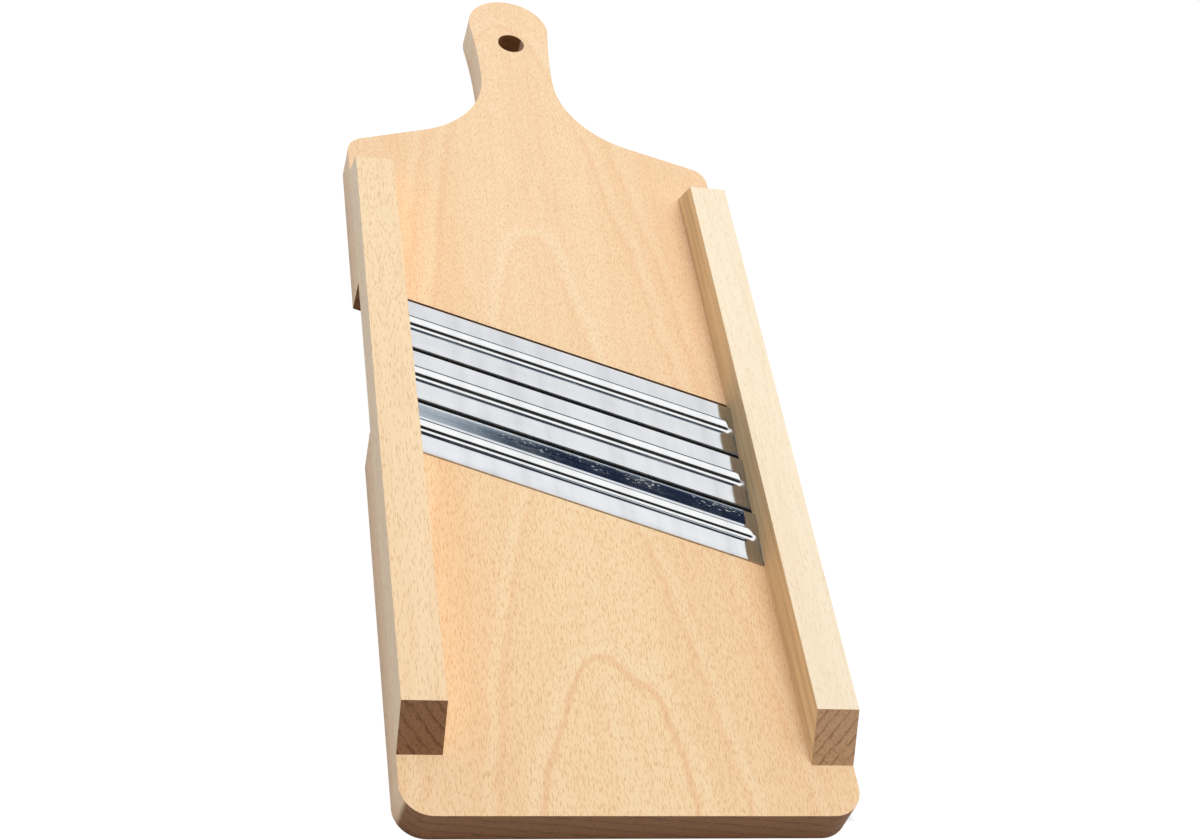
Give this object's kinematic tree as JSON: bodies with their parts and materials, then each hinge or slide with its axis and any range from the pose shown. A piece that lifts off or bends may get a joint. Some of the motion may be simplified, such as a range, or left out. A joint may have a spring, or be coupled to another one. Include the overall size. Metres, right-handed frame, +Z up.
{
  "type": "cabbage cutter",
  "caption": "Wooden cabbage cutter: a board with a hanging handle and side rails guides the head over slanted pressed-steel knives, and the shreds fall through an open diagonal slot.",
  "frame": {"origin": "middle of the underside of the whole part's box", "axes": "+X across the board, +Y along it toward the handle, +Z up out of the cutting face"},
  "size_m": [0.17, 0.46, 0.032],
  "materials": {
    "board_wood": "bare planed",
    "rail_wood": "bare planed",
    "knife_steel": "polished",
    "screw_zinc": "zinc plated"
  },
  "bodies": {
    "root": {"rear_board": "board_wood", "front_board": "board_wood", "left_rail": "rail_wood", "right_rail": "rail_wood", "rear_knife": "knife_steel", "middle_knife": "knife_steel", "front_knife": "knife_steel", "left_rail_screws": "screw_zinc", "right_rail_screws": "screw_zinc"}
  },
  "joints": []
}
